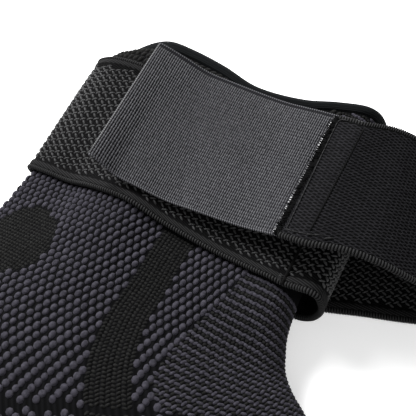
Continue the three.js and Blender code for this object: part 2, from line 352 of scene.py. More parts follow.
def on_tube(place, turn, out=0.0):
    """Points a distance off the tube's outer face, and the directions away from it."""
    step = 0.25 / RING_STEPS
    tangent = outline(place, turn + step) - outline(place, turn - step)
    normal = unit(np.cross(tangent, towards_toe(place)))
    points = outline(place, turn) + normal * out
    points[..., 2] = np.maximum(points[..., 2], level_of(place) - out)
    return points, normal


def find_shift():
    """Place of the tab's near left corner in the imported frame, in metres."""
    solid, _ = on_tube(*pairs(np.arange(0, TOE + 0.5, 0.5), np.arange(RING_STEPS) / RING_STEPS))
    return np.array(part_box("sleeve")[0]) - solid.reshape(-1, 3).min(0) * MM


SHIFT = find_shift()


def metres(points):
    """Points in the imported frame, in metres, kept just above the table."""
    placed = np.asarray(points, float) * MM + SHIFT
    placed[..., 2] = np.maximum(placed[..., 2], 0.02 * MM)
    return placed


# Sheets given by a grid of points

class Surface:
    """A curved sheet, from a grid of points that is even along and across it."""

    def __init__(self, points, length, width):
        self.points = points
        self.steps = np.array([length, width]) / (np.array(points.shape[:2]) - 1)
        self.normals = unit(np.cross(np.gradient(points, axis=0), np.gradient(points, axis=1)))

    def at(self, along, across, up=0.0):
        """Points at distances along and across, and up from the sheet."""
        along, across, up = np.broadcast_arrays(along, across, up)
        place = [along / self.steps[0], across / self.steps[1]]
        i, j = (np.clip(np.floor(p).astype(int), 0, n - 2) for p, n in zip(place, self.points.shape))
        f, g = (place[0] - i)[..., None], (place[1] - j)[..., None]

        def blend(grid):
            before = grid[i, j] * (1 - g) + grid[i, j + 1] * g
            after = grid[i + 1, j] * (1 - g) + grid[i + 1, j + 1] * g
            return before * (1 - f) + after * f

        return blend(self.points) + unit(blend(self.normals)) * up[..., None]


def free_row(x, y, z, turn, across):
    """A row of the strap about a middle point, turned in plan."""
    side = across - STRAP_WIDTH / 2
    return np.stack([x - side * math.sin(turn), y + side * math.cos(turn), z + 0 * side], axis=-1)


def free_rows(seam_row, across):
    """Rows that lead the strap from the seam through the curl, the fold and the loop to its end."""
    fold = STATIONS["instep_x"][STRAP_NEAR] * SLEEVE_WIDTH
    middle = (seam_row[0, 1] + seam_row[-1, 1]) / 2
    rows = []
    for out, up in zip(*CURL.values()):
        height = UPPER_LAYER + (seam_row[0, 2] - UPPER_LAYER) * up
        rows.append(free_row(fold + out * CURL_REACH, middle, height, 0, across))
    for back, down, side, turn in zip(*FOLD.values()):
        rows.append(free_row(fold - back * FOLD_DEPTH, middle + side * STRAP_WIDTH,
                             UPPER_LAYER - down * FOLD_ROOM, turn * LOOP_SKEW, across))
    for out, up, side, turn in zip(*LOOP.values()):
        rows.append(free_row(fold + out * LOOP_REACH, middle + side * STRAP_WIDTH,
                             LOWER_LAYER + up * LOOP_HEIGHT, turn * LOOP_SKEW, across))
    stack = (TAB_THICKNESS + CORD_THICKNESS) / 2 + GAP
    for share in (1, 2 / 3, 1 / 3, 0):
        along = TAB_LENGTH + GAP + share * (TAB_OVERLAP - GAP)
        rows.append(tab_points(along + 0 * across, across) + [0, -END_SHIFT, stack])
    return np.array(rows)


def strap_surface():
    """The strap's middle from its end underneath to its end on the tape, its length, and the seam's place."""
    across = np.linspace(0, STRAP_WIDTH, 33)
    spacing = (STATIONS["instep_y"][STRAP_FAR] - STATIONS["instep_y"][STRAP_NEAR]) * SLEEVE_LENGTH
    places = STRAP_NEAR - across / spacing
    start, seam = STRAP_START_ROW / SECTION_ROWS, SEAM_ROW / SECTION_ROWS
    off = GAP + CORD_THICKNESS / 2
    turns, across_places = pairs(np.linspace(start, seam, 240), places)
    wrapped, _ = on_tube(across_places, turns, off)
    before, _ = on_tube(places, places * 0 + seam + 1 / RING_STEPS, off)
    free = spline_rows(np.array([before, wrapped[-1], *free_rows(wrapped[-1], across)]), 700)
    rows = np.concatenate([wrapped, free[1:]])
    lengths = lengths_along(rows[:, len(across) // 2])
    even = np.linspace(0, lengths[-1], round(lengths[-1] / 0.7))
    columns = [[np.interp(even, lengths, line) for line in column.T] for column in rows.transpose(1, 0, 2)]
    points = np.array(columns).transpose(2, 0, 1)
    return Surface(points, lengths[-1], STRAP_WIDTH), lengths[-1], lengths[len(wrapped) - 1]


def top_heights():
    """Heights of the tube's top between the strap's edges: places, positions in x, and the grid."""
    places = np.linspace(0.8, 2.2, 57)
    x = np.linspace(-27, 80.5, 216)
    rings = outline(*pairs(places, np.linspace(0, BACK_ROW / SECTION_ROWS, 241)))
    return places, x, np.array([np.interp(x, ring[::-1, 0], ring[::-1, 2]) for ring in rings])


TOP_PLACES, TOP_X, TOP_HEIGHTS = top_heights()


def sleeve_top(x, y):
    """Height of the tube's top at points in plan between the strap's edges."""
    instep_x, back_x, instep_y, back_y = (STATIONS[n] for n in ("instep_x", "back_x", "instep_y", "back_y"))
    share = (instep_x[STRAP_NEAR] - x / SLEEVE_WIDTH) / (instep_x[STRAP_NEAR] - back_x[STRAP_NEAR])
    far_y, near_y = (
        (instep_y[k] + (back_y[k] - instep_y[k]) * share) * SLEEVE_LENGTH for k in (STRAP_FAR, STRAP_NEAR)
    )
    place = STRAP_NEAR - (y - near_y) / (far_y - near_y)
    i = np.clip((place - TOP_PLACES[0]) / (TOP_PLACES[1] - TOP_PLACES[0]), 0, len(TOP_PLACES) - 1.001)
    j = np.clip((x - TOP_X[0]) / (TOP_X[1] - TOP_X[0]), 0, len(TOP_X) - 1.001)
    r, c = i.astype(int), j.astype(int)
    f, g = i - r, j - c
    before = TOP_HEIGHTS[r, c] * (1 - g) + TOP_HEIGHTS[r, c + 1] * g
    after = TOP_HEIGHTS[r + 1, c] * (1 - g) + TOP_HEIGHTS[r + 1, c + 1] * g
    return before * (1 - f) + after * f


def tab_points(along, across):
    """Middle of the hook tape's thickness at distances along and across it."""
    place = along / (TAB_LENGTH + TAB_OVERLAP) * (len(TAB["near"]) - 1)
    near, far = smooth(TAB["near"], place), smooth(TAB["far"], place)
    lift = near + (far - near) * across / STRAP_WIDTH
    strap_top = sleeve_top(np.minimum(along, TAB_LENGTH), across) + GAP + CORD_THICKNESS
    return np.stack([along, across, strap_top + GAP + TAB_THICKNESS / 2 + lift * TAB_LIFT], axis=-1)


def tab_surface():
    """The hook tape's middle, from its free end to its end under the strap."""
    along, across = pairs(np.linspace(0, TAB_LENGTH + TAB_OVERLAP, 153), np.linspace(0, STRAP_WIDTH, 51))
    return Surface(tab_points(along, across), TAB_LENGTH + TAB_OVERLAP, STRAP_WIDTH)


strap, STRAP_LENGTH, SEAM_AT = strap_surface()
tab = tab_surface()


# Meshes

def add_mesh(name, points, faces, material, uv):
    """A smooth piece that rides with the sleeve. uv has a pair of millimetres for each point."""
    mesh = bpy.data.meshes.new(name)
    mesh.from_pydata(metres(points).reshape(-1, 3).tolist(), [], np.asarray(faces).tolist())
    corners = np.empty(len(mesh.loops), np.int32)
    mesh.loops.foreach_get("vertex_index", corners)
    layer = mesh.uv_layers.new(name="Yarn")
    layer.data.foreach_set("uv", np.asarray(uv, np.float32).reshape(-1, 2)[corners].ravel())
    mesh.polygons.foreach_set("use_smooth", [True] * len(mesh.polygons))
    mesh.materials.append(material)
    piece = bpy.data.objects.new(name, mesh)
    bpy.context.scene.collection.objects.link(piece)
    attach(piece, BODY)
    return piece


def quads(rows, columns, wrap_rows=False, wrap_columns=False, flip=False):
    """Faces of a grid of points."""
    r = np.arange(rows if wrap_rows else rows - 1)[:, None]
    c = np.arange(columns if wrap_columns else columns - 1)[None, :]
    r2, c2 = (r + 1) % rows, (c + 1) % columns
    corners = [r * columns + c, r * columns + c2, r2 * columns + c2, r2 * columns + c]
    faces = np.stack(np.broadcast_arrays(*corners), axis=-1).reshape(-1, 4)
    return faces[:, ::-1] if flip else faces


def dome(rings, sides):
    """A dome of unit size: points (across, along, up) and faces. rings: its radius and height."""
    angle = np.arange(sides) / sides * 2 * math.pi
    points = [(0, 0, 1)]
    for radius, height in rings:
        points += [(radius * math.cos(a), radius * math.sin(a), height) for a in angle]
    faces = [(0, 1 + k, 1 + (k + 1) % sides) for k in range(sides)]
    for start in 1 + np.arange(len(rings) - 1) * sides:
        for k in range(sides):
            a, b = start + k, start + (k + 1) % sides
            faces += [(a, a + sides, b + sides), (a, b + sides, b)]
    return np.array(points, float), np.array(faces)


def yarn(path, radii, sides):
    """A yarn with closed ends along a path of (along, across, up): points and faces."""
    path = np.array(path, float)
    heading = unit(np.gradient(path, axis=0))
    side = unit(np.cross(heading, [0, 0, 1]))
    up = np.cross(side, heading)
    angle = np.arange(sides) / sides * 2 * math.pi
    ring = np.cos(angle)[None, :, None] * side[:, None] + np.sin(angle)[None, :, None] * up[:, None]
    points = path[:, None] + ring * np.array(radii)[:, None, None]
    square = quads(len(path), sides, wrap_columns=True, flip=True)
    end = (len(path) - 1) * sides
    caps = [(0, k, k + 1) for k in range(1, sides - 1)]
    caps += [(end, end + k + 1, end + k) for k in range(1, sides - 1)]
    return points.reshape(-1, 3), np.concatenate([square[:, [0, 1, 2]], square[:, [0, 2, 3]], caps])


def repeated(faces, count, size):
    """Faces of so many copies of a template that has so many points."""
    return (faces[None] + np.arange(count)[:, None, None] * size).reshape(-1, faces.shape[1])


def lay(name, surface, along, across, template, material, spread=0.0):
    """Copies of a template in millimetres that follow a sheet, at distances along and across it."""
    points, faces = template
    shift = random.normal(0, 1, (2, len(along), 1)) * spread
    a = along[:, None] + points[None, :, 0] + shift[0]
    b = across[:, None] + points[None, :, 1] + shift[1]
    placed = surface.at(a, b, points[None, :, 2])
    faces = repeated(faces, len(along), len(points))
    return add_mesh(name, placed, faces, material, np.stack([a, b], axis=-1))


def band(name, surface, rows, profile, material):
    """A closed band on a sheet. profile: (across, up) round its section, over the top and back below."""
    across, up = np.array(profile, float).T
    along, across = pairs(rows, across)
    size = len(profile)
    k = np.arange(size // 2 - 1)
    start = np.stack([k, k + 1, size - 2 - k, size - 1 - k], axis=-1)
    end = start[:, ::-1] + (len(rows) - 1) * size
    faces = np.concatenate([quads(len(rows), size, wrap_columns=True, flip=True), start, end])
    placed = surface.at(along, across, up[None] + 0 * along)
    return add_mesh(name, placed, faces, material, np.stack([along, across], axis=-1))


def sew(name, surface, route, material, radius=0.24, length=2.2, face=1):
    """A row of stitches on a sheet along a route of (along, across, up). face: 1 or -1, its side."""
    route = np.array(route, float)
    marks = lengths_along(route)
    count = max(1, round(marks[-1] / length))
    starts, ends = (np.linspace(0, marks[-1], count + 1)[s] for s in (slice(None, -1), slice(1, None)))
    first, last = (
        np.stack([np.interp(m, marks, column) for column in route.T], axis=-1) for m in (starts, ends)
    )
    points, faces = yarn(
        [(0.04, 0, -0.35), (0.14, 0, 0), (0.5, 0, 0.08), (0.86, 0, 0), (0.96, 0, -0.35)],
        [radius * share for share in (0.6, 0.95, 1, 0.95, 0.6)], 6)
    step = last - first
    sideways = unit(np.stack([-step[:, 1], step[:, 0]], axis=-1))
    placed = first[:, None] + points[None, :, 0:1] * step[:, None]
    placed[..., :2] += points[None, :, 1:2] * sideways[:, None]
    placed[..., 2] += points[None, :, 2]
    laid = surface.at(placed[..., 0], placed[..., 1], placed[..., 2] * face)
    faces = repeated(faces if face > 0 else faces[:, ::-1], count, len(points))
    return add_mesh(name, laid, faces, material, placed[..., :2])


# Materials

def shader(name, color, roughness, sheen=0.0, specular=0.1):
    """A material and its principled node."""
    material = bpy.data.materials.new(name)
    material.use_nodes = True
    base = material.node_tree.nodes["Principled BSDF"]
    base.inputs["Base Color"].default_value = (*color, 1)
    base.inputs["Roughness"].default_value = roughness
    base.inputs["Sheen Weight"].default_value = sheen
    base.inputs["Sheen Roughness"].default_value = 0.5
    base.inputs["Specular IOR Level"].default_value = specular
    return material, base


def link(material, source, target):
    material.node_tree.links.new(source, target)


def object_coordinates(material):
    return material.node_tree.nodes.new("ShaderNodeTexCoord").outputs["Object"]


def yarn_coordinates(material):
    node = material.node_tree.nodes.new("ShaderNodeUVMap")
    node.uv_map = "Yarn"
    return node.outputs["UV"]


def noise(material, scale, detail, coordinates):
    node = material.node_tree.nodes.new("ShaderNodeTexNoise")
    node.inputs["Scale"].default_value = scale
    node.inputs["Detail"].default_value = detail
    link(material, coordinates, node.inputs["Vector"])
    return node.outputs["Fac"]


def threads(material, pitch, direction="X", waviness=0.5, turn=0.0):
    """Parallel threads, a pitch apart in millimetres, turned by an angle on the piece's own map."""
    nodes = material.node_tree.nodes
    mapping = nodes.new("ShaderNodeMapping")
    mapping.inputs["Rotation"].default_value = (0, 0, turn)
    link(material, yarn_coordinates(material), mapping.inputs["Vector"])
    node = nodes.new("ShaderNodeTexWave")
    node.bands_direction = direction
    node.inputs["Scale"].default_value = 2 * math.pi / 20 / pitch
    node.inputs["Distortion"].default_value = waviness
    link(material, mapping.outputs["Vector"], node.inputs["Vector"])
    return node.outputs["Fac"]


def colours(material, base, value, dark, light, low=0.3, high=0.7):
    """Colours the material between dark and light by a value."""
    node = material.node_tree.nodes.new("ShaderNodeValToRGB")
    for element, position, color in zip(node.color_ramp.elements, (low, high), (dark, light)):
        element.position = position
        element.color = (*color, 1)
    link(material, value, node.inputs["Fac"])
    link(material, node.outputs["Color"], base.inputs["Base Color"])


def relief(material, base, height, strength, depth):
    node = material.node_tree.nodes.new("ShaderNodeBump")
    node.inputs["Strength"].default_value = strength
    node.inputs["Distance"].default_value = depth * MM
    link(material, height, node.inputs["Height"])
    link(material, node.outputs["Normal"], base.inputs["Normal"])


def yarn_material(name, dark, light, ply, turn=0.5, roughness=0.85, sheen=0.03, specular=0.08):
    """Twisted yarn: its colour varies, and its plies are a fine relief."""
    material, base = shader(name, light, roughness, sheen, specular)
    colours(material, base, noise(material, 900, 3, object_coordinates(material)), dark, light)
    relief(material, base, threads(material, ply, turn=turn), 0.5, 0.12)
    return material


def threaded_material(name, dark, light, pitch, direction, turn, depth, roughness=0.85):
    """Cloth whose fine parallel threads are lighter than the ground between them; that darker ground is
    painted shade in the grooves, laid by the same waves as the relief.
    """
    material, base = shader(name, light, roughness, 0.0, 0.06)
    lines = threads(material, pitch, direction, 0.6, turn)
    # The waves that raise the threads also darken the low parts between them: painted shade in the grooves.
    colours(material, base, lines, dark, light, 0.15, 0.85)
    relief(material, base, lines, 0.6, depth)
    return material


GREY = (0.020, 0.019, 0.025), (0.051, 0.048, 0.061)
BLACK = (0.004, 0.004, 0.0038), (0.014, 0.014, 0.0135)
GROUND = (0.0008, 0.0008, 0.001), (0.0025, 0.0025, 0.003)
# The strap's black taken down to near black so that the ground between the loops reads as deep shade: partly
# painted shade.
WEBBING_AND_SHADE = (0.0008, 0.0008, 0.0009), (0.003, 0.003, 0.0032)
PLAIN = (0.004, 0.004, 0.0041), (0.020, 0.020, 0.0205)
RIBS = (0.003, 0.003, 0.003), (0.030, 0.030, 0.0305)
LOOPS = (0.014, 0.014, 0.0145), (0.038, 0.038, 0.039)
FACE = (0.006, 0.0058, 0.007), (0.018, 0.0175, 0.020)
HEM = (0.004, 0.0046, 0.005), (0.010, 0.0112, 0.012)
TAPE = (0.060, 0.060, 0.066), (0.122, 0.122, 0.131)
# The tape's ground between the dashes, much darker than the dashes' own yarn: partly painted shade in the
# gaps between them.
TAPE_GROUND_AND_SHADE = (0.006, 0.006, 0.007), (0.014, 0.014, 0.016)
# The free end's lighter colour is a painted highlight where the lifted edge catches the light.
TAPE_END_HIGHLIGHT = (0.08, 0.08, 0.084), (0.19, 0.19, 0.195)
THREAD = (0.010, 0.010, 0.0105), (0.034, 0.034, 0.035)
SHADE = (0.0005, 0.0005, 0.0005), (0.0012, 0.0012, 0.0012)
FILAMENT = (0.80, 0.80, 0.81)
FLOOR = (0.90, 0.90, 0.90)

grey_yarn = yarn_material("grey_yarn", *GREY, ply=0.33)
black_yarn = yarn_material("black_yarn", *BLACK, ply=0.25)
ground = threaded_material("knit_ground", *GROUND, pitch=1.25, direction="X", turn=0, depth=0.3)
hem_knit = threaded_material("hem_knit", *HEM, pitch=0.8, direction="Y", turn=0, depth=0.12)
webbing = threaded_material("webbing", *WEBBING_AND_SHADE, pitch=0.75, direction="Y", turn=0.32, depth=0.3)
plain_yarn = threaded_material("plain_yarn", *PLAIN, pitch=0.8, direction="Y", turn=0.36, depth=0.3)
loop_yarn = yarn_material("loop_yarn", *LOOPS, ply=0.3, roughness=0.55, specular=0.35)
# The near-black between the cord's ribs is painted shade in the gaps.
rib_yarn = threaded_material("rib_yarn", *RIBS, pitch=RIB_PITCH, direction="X", turn=0, depth=0.2)
face_yarn = yarn_material("face_yarn", *FACE, ply=0.2)
tape_yarn = yarn_material("tape_yarn", *TAPE, ply=0.2, turn=1.5, roughness=0.7, sheen=0.05, specular=0.15)
tape_ground_and_shade = threaded_material(
    "tape_ground_and_shade", *TAPE_GROUND_AND_SHADE, pitch=TAPE_COLUMN, direction="X", turn=0, depth=0.1)
tape_selvedge = threaded_material(
    "tape_selvedge", TAPE_GROUND_AND_SHADE[1], TAPE[1], pitch=TAPE_COLUMN, direction="X", turn=0, depth=0.1)
tape_end_highlight = threaded_material("tape_end_highlight", *TAPE_END_HIGHLIGHT, pitch=TAPE_COLUMN, direction="Y", turn=0, depth=0.1)
sewing_thread = yarn_material("sewing_thread", *THREAD, ply=0.25, roughness=0.6)
# Near-black yarn of painted shade: the dark line where the seam pulls the strap in, and the crease.
painted_shade_thread = yarn_material("painted_shade_thread", *SHADE, ply=0.25)
filament, _ = shader("filament", FILAMENT, 0.4, 0.0, 0.5)


# Knit tube

def add_tube():
    """The knit's ground, hollow and open at both ends."""
    places, turns = pairs(np.linspace(0, TOE, TUBE_RINGS), np.arange(TUBE_SIDES) / TUBE_SIDES)
    outside, _ = on_tube(places, turns, GROUND_DEPTH)
    inside, _ = on_tube(places, turns, -SLEEVE_WALL)
    points = np.concatenate([outside, inside[::-1]])
    round_it = turns * 2 * (SLEEVE_WIDTH + SLEEVE_HEIGHT / 2)
    uv = np.stack([round_it, places * SLEEVE_LENGTH / TOE], axis=-1)
    faces = quads(*points.shape[:2], wrap_rows=True, wrap_columns=True)
    piece = add_mesh("knit_tube", points, faces, ground, np.concatenate([uv, uv[::-1]]))
    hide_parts("sleeve")
    return piece


# Coloured areas in plan: the black band, the left edge of the striped panel, and the black patch
BAND = (31.2, 42.8)
PANEL_X = (66, 62, 57.5, 53, 52, 64, 125)
PANEL_Y = (0, 10.5, 26, 42, 55, 66, 76)
PATCH_CENTRE = (-12, -29.5)
PATCH_SIZE = (12.2, 14.2)


def wale_lines():
    """The knit's lines of stitches from cuff to toe: places, how much wider the tube is there, the turn
    of each line there, and its x.
    """
    places = np.linspace(0, TOE, 161)
    turns = np.linspace(0, 1, 361)
    rings = outline(*pairs(places, turns))
    rounds = np.array([lengths_along(ring) for ring in rings])
    near = np.argmin(abs(places - STRAP_NEAR))
    count = 2 * round(rounds[near, -1] / TUCK_ACROSS)
    shares = np.arange(count) / count
    line_turns = np.array([np.interp(shares * length[-1], length, turns) for length in rounds])
    wider = rounds[:, -1] / rounds[near, -1]
    return places, wider, line_turns, outline(places[near] + 0 * shares, line_turns[near])[:, 0]


def knit_stitches():
    """Every stitch outside the strap: centre, directions towards the toe and outwards, wale, row,
    whether it is on the band, whether it is between the strap and the cuff, and how much wider it is.
    """
    places, wider, line_turns, wale_x = wale_lines()
    hidden = UNDER_STRAP / STRAP_WIDTH
    step = 0.03
    found = []
    for wale, turns in enumerate(line_turns.T):
        line = outline(places, turns)
        for start, stop in ((STRAP_NEAR - hidden, GORE), (TOE, GORE), (STRAP_FAR + hidden, 0)):
            inside = (places >= min(start, stop)) & (places <= max(start, stop))
            order = np.flatnonzero(inside)[:: 1 if stop > start else -1]
            length = lengths_along(line[order])
            at = np.interp(np.arange(0.5, length[-1] - 0.5, TUCK_ROW / 2), length, places[order])
            turn, turn_ahead = (np.interp(at + far, places, turns) for far in (0, step))
            found.append(np.stack([at, turn, turn_ahead, 0 * at + wale, np.arange(len(at))]))
    at, turn, turn_ahead, wale, row = np.concatenate(found, axis=1)
    wale, row = wale.astype(int), row.astype(int)
    centres, outwards = on_tube(at, turn)
    ahead = outline(np.minimum(at + step, TOE), turn_ahead) - outline(at, turn)
    ahead -= outwards * (ahead * outwards).sum(-1, keepdims=True)
    banded = (wale_x[wale] > BAND[0]) & (wale_x[wale] < BAND[1])
    return centres, unit(ahead), outwards, wale, row, banded, at < STRAP_FAR, np.interp(at, places, wider)


def add_domes(name, stitches, chosen, template, size, tilt, material):
    """Stitches as domes. size: half width, half length and height. tilt: an angle for each stitch."""
    points, faces = template
    centres, ahead, outwards = (part[chosen] for part in stitches[:3])
    count = len(centres)
    tilt = (tilt[chosen] + random.normal(0, 0.07, count))[:, None]
    side = np.cross(ahead, outwards)
    along = ahead * np.cos(tilt) + side * np.sin(tilt)
    across = side * np.cos(tilt) - ahead * np.sin(tilt)
    half_width, half_length, height = (s * random.normal(1, 0.05, (count, 1)) for s in size)
    half_width *= stitches[-1][chosen][:, None]
    axes = np.stack([across * half_width, along * half_length, outwards * height], axis=1)
    base = centres + outwards * KNIT_BASE + across * random.normal(0, 0.06, (count, 1))
    placed = base[:, None] + np.einsum("pk,nkc->npc", points, axes)
    uv = points[None, :, :2] * size[:2] + random.uniform(0, 9, (count, 1, 2))
    return add_mesh(name, placed, repeated(faces, count, len(points)), material, uv)


def add_stitches():
    """Tuck stitches on the grey ground, black ones between the strap and the cuff as painted shade there,
    fine ones on the band and the patch, and stripes on the panel.
    """
    stitches = knit_stitches()
    centres, _, outwards, wale, row, banded, cuff, _ = stitches
    x, y = centres[:, 0], centres[:, 1]
    patched = ((x - PATCH_CENTRE[0]) / PATCH_SIZE[0]) ** 2 + ((y - PATCH_CENTRE[1]) / PATCH_SIZE[1]) ** 2 < 1
    striped = x > np.interp(-y, PANEL_Y, PANEL_X)
    plain = ~(banded | patched | striped)
    black = (banded | patched) & ~striped | striped & (row % 2 == 1)
    tuck = plain & (row % 2 == 0) & ((wale + row // 2) % 2 == 0)
    top = outwards[:, 2] > -0.2
    grey = tuck & ~cuff
    full = dome([(0.5, 0.88), (0.84, 0.52), (1.0, 0.0)], 8)
    low = dome([(0.7, 0.7), (1.0, 0.0)], 6)
    tuck_size = (TUCK_HALF_WIDTH, TUCK_HALF_LENGTH, TUCK_HEIGHT)
    fine_size = (FINE_HALF_WIDTH, FINE_HALF_LENGTH, FINE_HEIGHT)
    stripe_size = (STRIPE_HALF_WIDTH, STRIPE_HALF_LENGTH, FINE_HEIGHT)
    tuck_tilt = np.full(len(x), TUCK_TILT)
    fine_tilt = np.where(wale % 2, FINE_TILT, -FINE_TILT)
    return [
        add_domes("tuck_stitches_top", stitches, grey & top, full, tuck_size, tuck_tilt, grey_yarn),
        add_domes("tuck_stitches_under", stitches, grey & ~top, low, tuck_size, tuck_tilt, grey_yarn),
        # Tuck stitches between the strap and the cuff are drawn in black yarn: painted shade on the bumps
        # there.
        add_domes("cuff_shade_stitches", stitches, tuck & cuff, full, tuck_size, tuck_tilt, black_yarn),
        add_domes("fine_stitches_black", stitches, black, low, fine_size, fine_tilt, black_yarn),
        add_domes("fine_stitches_grey", stitches, striped & ~black, low, stripe_size, fine_tilt, grey_yarn),
    ]


def add_hem(name, node, place, outward):
    """A rolled hem beyond the rim at one end of the tube. outward: 1 at the toe, -1 at the cuff."""
    angle = np.arange(HEM_SIDES) / HEM_SIDES * 2 * math.pi
    proud = (np.cos(angle) * HEM_THICKNESS - SLEEVE_WALL) / 2
    beyond = GAP + (1 + np.sin(angle)) * HEM_WIDTH / 2
    turns = np.arange(HEM_STEPS) / HEM_STEPS
    along = towards_toe(np.array(place, float)) * outward
    points = np.array([
        on_tube(turns * 0 + place, turns, out)[0] + along * far for out, far in zip(proud, beyond)
    ])
    roll, turn = pairs(angle * HEM_WIDTH / 2, turns * 2 * SLEEVE_WIDTH)
    faces = quads(*points.shape[:2], wrap_rows=True, wrap_columns=True, flip=outward < 0)
    piece = add_mesh(name, points, faces, hem_knit, np.stack([turn, roll], axis=-1))
    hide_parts(node)
    return piece


# Strap

def mirrored(half):
    """A row of (across, up) from the near edge to the middle, carried on to the far edge."""
    return half + [(STRAP_WIDTH - across, up) for across, up in reversed(half[:-1])]


def add_strap_ground():
    """The strap's body, a little sunk between its plain edges on the loop side, in a near-black that is its
    black yarn taken darker, as painted shade between the loops.
    """
    edge = [(0.8, 0.5), (2, EDGE_LEVEL), (PLAIN_EDGE - 0.4, EDGE_LEVEL)]
    bed = [(across, LOOP_BED) for across in (PLAIN_EDGE + 0.3, 9, 13, 17, 21, STRAP_WIDTH / 2)]
    loop_side = mirrored(edge + bed)
    fine_side = [(across, FINE_LEVEL) for across, _ in reversed(loop_side)]
    rows = np.linspace(0, STRAP_LENGTH, round(STRAP_LENGTH))
    piece = band("strap_webbing", strap, rows, loop_side + fine_side, webbing)
    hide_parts("strap")
    return piece


def stroke(size, middle, base):
    """A short rounded stroke of yarn about a middle. size: half length, half width, height and turn."""
    points, faces = dome([(0.62, 0.8), (1.0, 0.0)], 8)
    half_length, half_width, height, turn = size
    along, across = points[:, 0] * half_length, points[:, 1] * half_width
    placed = [
        middle[0] + along * math.cos(turn) - across * math.sin(turn),
        middle[1] + along * math.sin(turn) + across * math.cos(turn),
        base + points[:, 2] * height,
    ]
    return np.stack(placed, axis=-1), faces


def add_strap_loops():
    """Oblique beads of thick yarn with a bar across the head of each."""
    bead, bead_faces = stroke(BEAD, (0, 0), 0.25)
    bar, bar_faces = stroke(BAR, BAR_PLACE, 0.35)
    template = np.concatenate([bead, bar]), np.concatenate([bead_faces, bar_faces + len(bead)])
    number, across = pairs(
        np.arange(1, STRAP_LENGTH / LOOP_ALONG - 1), np.arange(PLAIN_EDGE + 0.2, LOOPS_STOP, LOOP_ACROSS))
    across = across + number * LOOP_CLIMB % LOOP_ACROSS
    along = number * LOOP_ALONG
    return lay("strap_loops", strap, along.ravel(), across.ravel(), template, loop_yarn, 0.05)


def add_strap_edges():
    """The ribbed cords along both edges."""
    ribs = np.arange(RIB_PITCH, STRAP_LENGTH - RIB_PITCH, RIB_PITCH)
    shares = np.array([0.66, 1.0, 1.0])
    along = (ribs[:, None] + np.array([0, 0.3, 0.7]) * RIB_PITCH).ravel()
    size = np.tile(shares, len(ribs))
    size[[0, -1]] = 0.2
    angle = np.arange(9) / 9 * 2 * math.pi
    points, faces, uv = [], [], []
    for number, centre in enumerate((RIB_HALF_WIDTH, STRAP_WIDTH - RIB_HALF_WIDTH)):
        a, turn = pairs(along, angle)
        across = centre + RIB_HALF_WIDTH * np.cos(turn) * size[:, None]
        points.append(strap.at(a, across, RIB_HALF_HEIGHT * np.sin(turn) * size[:, None]))
        faces.append(quads(*a.shape, wrap_columns=True) + number * a.size)
        uv.append(np.stack([a, turn * RIB_HALF_WIDTH], axis=-1))
    return add_mesh("strap_edges", np.array(points), np.concatenate(faces), rib_yarn, np.array(uv))


def add_plain_edges():
    """The flat strips of slanting ribs between the cords and the loops."""
    rows = np.linspace(0.3, STRAP_LENGTH - 0.3, round(STRAP_LENGTH))
    top = [(1.9, 0.75), (2.2, 0.9), (PLAIN_EDGE - 0.6, 0.9), (PLAIN_EDGE - 0.4, 0.7)]
    near = top + [(across, 0.35) for across, _ in reversed(top)]
    far = [(STRAP_WIDTH - across, up) for across, up in top[::-1] + near[:3:-1]]
    return [
        band("near_plain_edge", strap, rows, near, plain_yarn),
        band("far_plain_edge", strap, rows, far, plain_yarn),
    ]


def add_face_yarns():
    """Wavy yarns of the fine face, which part and meet round small dark holes."""
    start = STRAP_LENGTH - RAW_EDGE - FACE_LENGTH
    along = np.arange(start, STRAP_LENGTH - RAW_EDGE, WAVE_ALONG / 8)
    lines = np.arange(2.3, STRAP_WIDTH - 2.3, WAVE_ROW)
    direction = np.where(np.arange(len(lines)) % 2, 1, -1)
    _, a = pairs(lines, along)
    sway = direction[:, None] * WAVE_SWING * np.cos(a / WAVE_ALONG * 2 * math.pi)
    middle = lines[:, None] + sway
    section = np.array([(-FACE_YARN_WIDTH, -0.6), (0, -0.62 - FACE_YARN_HEIGHT), (FACE_YARN_WIDTH, -0.6)])
    across = middle[..., None] + section[:, 0]
    a = a[..., None] + 0 * across
    placed = strap.at(a, across, section[:, 1] + 0 * across)
    faces = repeated(quads(len(along), 3), len(lines), len(along) * 3)
    return add_mesh("face_yarns", placed, faces, face_yarn, np.stack([a, across], axis=-1))


def add_raw_edge():
    """Loose fibres along the strap's cut end."""
    template = yarn([(0, 0, 0), (0.5, 0.05, 0.06), (1, 0.2, 0.2)], [0.09, 0.07, 0.03], 3)
    count = 420
    points, faces = template
    angle = random.normal(0, 0.7, (count, 1))
    length = random.uniform(0.7, 2.0, (count, 1))
    along, across = points[:, 0] * length, points[:, 1] * length
    a = STRAP_LENGTH - random.uniform(0.3, RAW_EDGE + 0.6, (count, 1)) + along * np.cos(angle)
    b = random.uniform(1, STRAP_WIDTH - 1, (count, 1)) + across + along * np.sin(angle)
    up = -random.uniform(0.2, 0.9, (count, 1)) - points[:, 2] * length
    placed = strap.at(a, b, up)
    faces = repeated(faces[:, ::-1], count, len(points))
    return add_mesh("raw_edge", placed, faces, webbing, np.stack([a, b], axis=-1))


